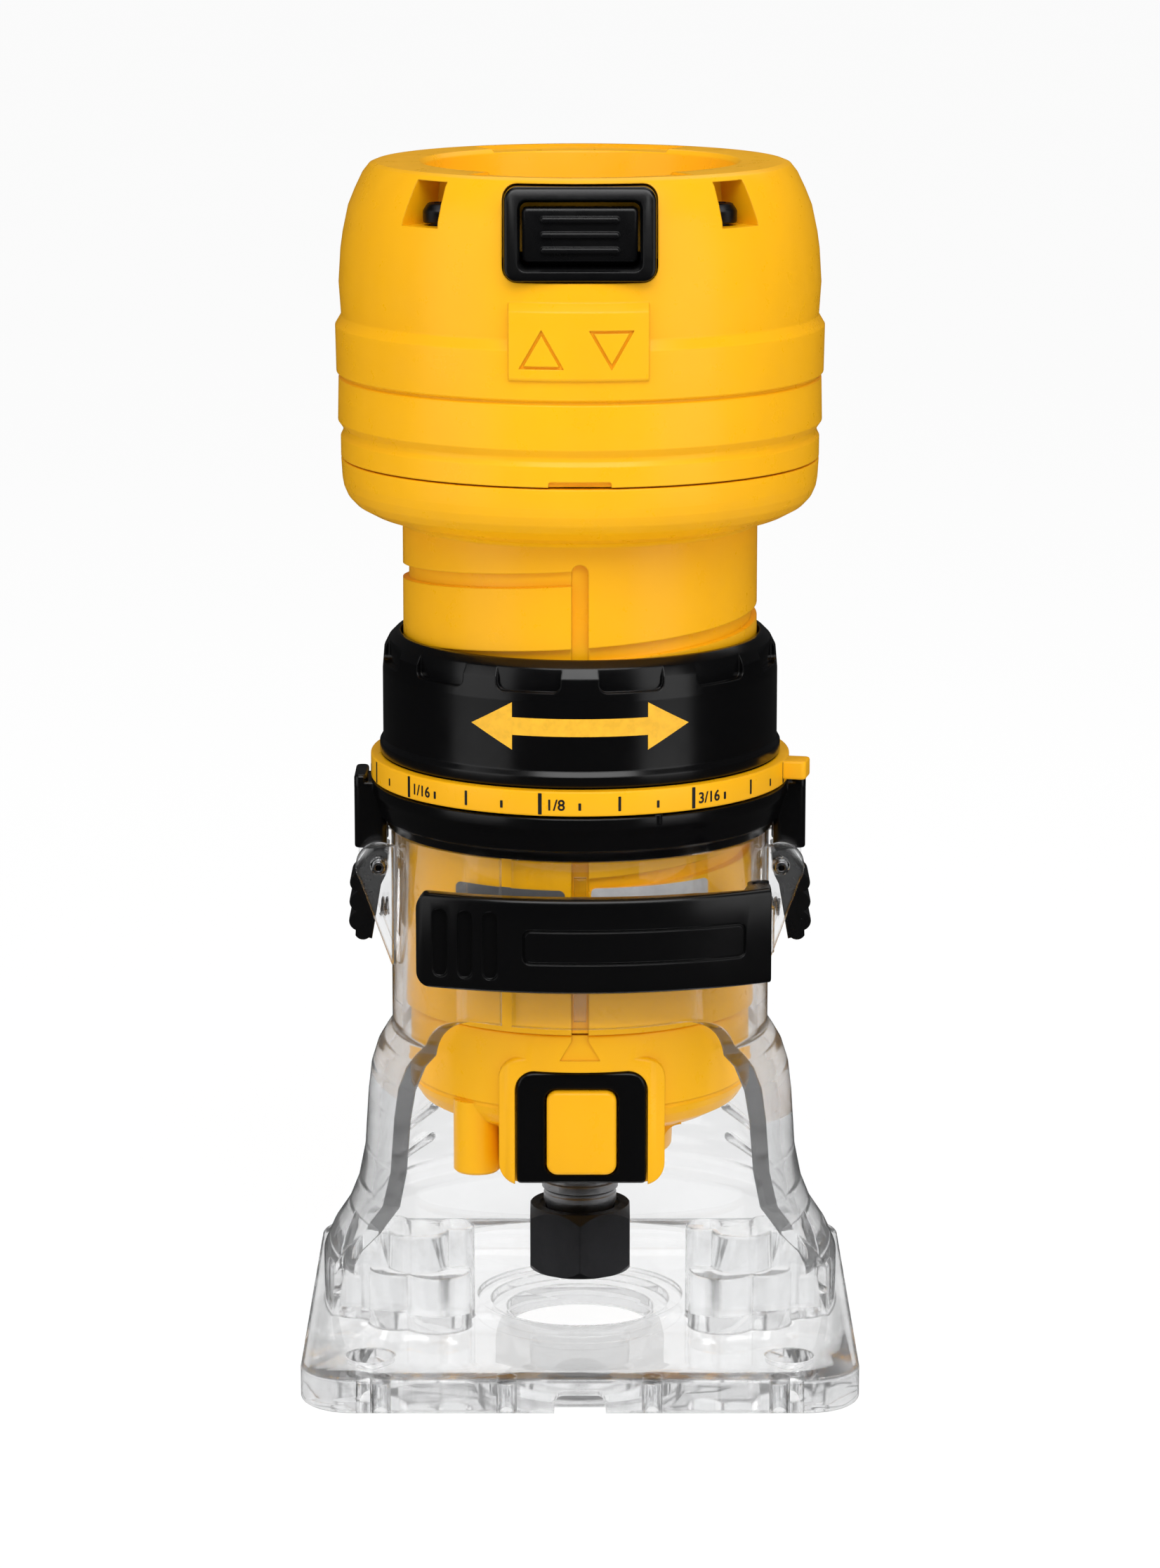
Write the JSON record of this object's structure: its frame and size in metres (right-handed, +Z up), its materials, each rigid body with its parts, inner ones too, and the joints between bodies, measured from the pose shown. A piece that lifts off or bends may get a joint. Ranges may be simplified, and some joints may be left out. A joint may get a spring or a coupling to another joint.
{
  "type": "trim router",
  "caption": "Compact trim router: a motor unit held in a clear base by a clamp lever, with a depth ring and scale, a collar with side latches, a spindle lock and a collet nut.",
  "frame": {"origin": "centre of the base's underside, on the spindle's axis", "axes": "+Z up along the spindle, -Y to the front with the switch and spindle lock, +X to the operator's right when facing the front"},
  "size_m": [0.092, 0.092, 0.2],
  "materials": {
    "yellow_plastic": "satin moulded plastic",
    "black_plastic": "satin moulded plastic",
    "clear_plastic": "clear polished polycarbonate",
    "steel": "ground steel",
    "dark_steel": "black oxide steel",
    "copper": "lacquered copper wire",
    "brass": "plain brass",
    "carbon": "dull carbon"
  },
  "bodies": {
    "base": {"clear_base": "clear_plastic", "guide_key": "clear_plastic", "clamp_hinge_pin": "steel", "clamp_strap_pin": "steel", "clamp_strap": "steel", "latch_pin_left": "steel", "latch_pin_right": "steel", "latch_spring_left": "steel", "latch_spring_right": "steel"},
    "clamp": {"clamp_lever": "black_plastic"},
    "latch_left": {"latch_left": "black_plastic"},
    "latch_right": {"latch_right": "black_plastic"},
    "collar": {"quick_release_collar": "black_plastic"},
    "depth_ring": {"depth_ring": "black_plastic", "follower_pin": "steel"},
    "scale_ring": {"scale_ring": "yellow_plastic"},
    "motor": {"motor_housing": "yellow_plastic", "end_cap": "yellow_plastic", "cap_screw_1": "dark_steel", "cap_screw_2": "dark_steel", "cap_screw_3": "dark_steel", "cap_screw_4": "dark_steel", "cord_gland": "black_plastic", "switch_bezel": "black_plastic", "nose_cap": "yellow_plastic", "lock_surround": "black_plastic", "nose_screw_1": "dark_steel", "nose_screw_2": "dark_steel", "stator_core": "steel", "field_coil_lower": "copper", "field_coil_upper": "copper", "fan_baffle": "black_plastic", "brush_bracket": "black_plastic", "brush_holder_left": "brass", "brush_holder_right": "brass", "carbon_brush_left": "carbon", "carbon_brush_right": "carbon", "brush_spring_left": "steel", "brush_spring_right": "steel", "lower_bearing_outer": "steel", "upper_bearing_outer": "steel", "lock_spring": "steel", "switch_body": "black_plastic"},
    "rotor": {"spindle": "steel", "collet_nut": "dark_steel", "armature_core": "steel", "armature_coil_lower": "copper", "armature_coil_upper": "copper", "commutator": "copper", "cooling_fan": "black_plastic", "lower_bearing_inner": "steel", "upper_bearing_inner": "steel", "collet": "steel"},
    "lock": {"lock_button": "yellow_plastic", "lock_pin": "steel"},
    "rocker": {"switch_rocker": "black_plastic"}
  },
  "joints": [
    {"name": "collar_lift", "type": "slide", "parent": "base", "child": "collar", "axis": [0, 0, 1], "range_m": [0, 0.08]},
    {"name": "motor_depth", "type": "slide", "parent": "collar", "child": "motor", "axis": [0, 0, 1], "range_m": [-0.011, 0.0254]},
    {"name": "ring_turn", "type": "hinge", "parent": "collar", "child": "depth_ring", "pos_m": [0, 0, 0.111], "axis": [0, 0, 1], "range_deg": [-725, 315]},
    {"name": "scale_turn", "type": "hinge", "parent": "depth_ring", "child": "scale_ring", "pos_m": [0, 0, 0.0999], "axis": [0, 0, 1], "continuous": true},
    {"name": "spindle_turn", "type": "hinge", "parent": "motor", "child": "rotor", "pos_m": [0, 0, 0.1], "axis": [0, 0, 1], "continuous": true},
    {"name": "lock_press", "type": "slide", "parent": "motor", "child": "lock", "axis": [0, 1, 0], "range_m": [0, 0.003], "stiffness_N_per_m": 600, "springref_m": -0.001, "deforming": ["lock_spring"]},
    {"name": "switch_rock", "type": "hinge", "parent": "motor", "child": "rocker", "pos_m": [0, -0.0356, 0.1914], "axis": [1, 0, 0], "range_deg": [0, 10]},
    {"name": "clamp_open", "type": "hinge", "parent": "base", "child": "clamp", "pos_m": [0.0298, -0.025, 0.076], "axis": [0, 0, 1], "range_deg": [0, 90]},
    {"name": "latch_left_squeeze", "type": "hinge", "parent": "base", "child": "latch_left", "pos_m": [-0.0337, 0, 0.0828], "axis": [0, -1, 0], "range_deg": [0, 12], "stiffness_Nm_per_rad": 0.05, "springref_deg": -5.73, "deforming": ["latch_spring_left"]},
    {"name": "latch_right_squeeze", "type": "hinge", "parent": "base", "child": "latch_right", "pos_m": [0.0337, 0, 0.0828], "axis": [0, 1, 0], "range_deg": [0, 12], "stiffness_Nm_per_rad": 0.05, "springref_deg": -5.73, "deforming": ["latch_spring_right"]}
  ],
  "couplings": [
    {"joint": "ring_turn", "follows": "motor_depth", "rad_per_m": -494.74}
  ]
}
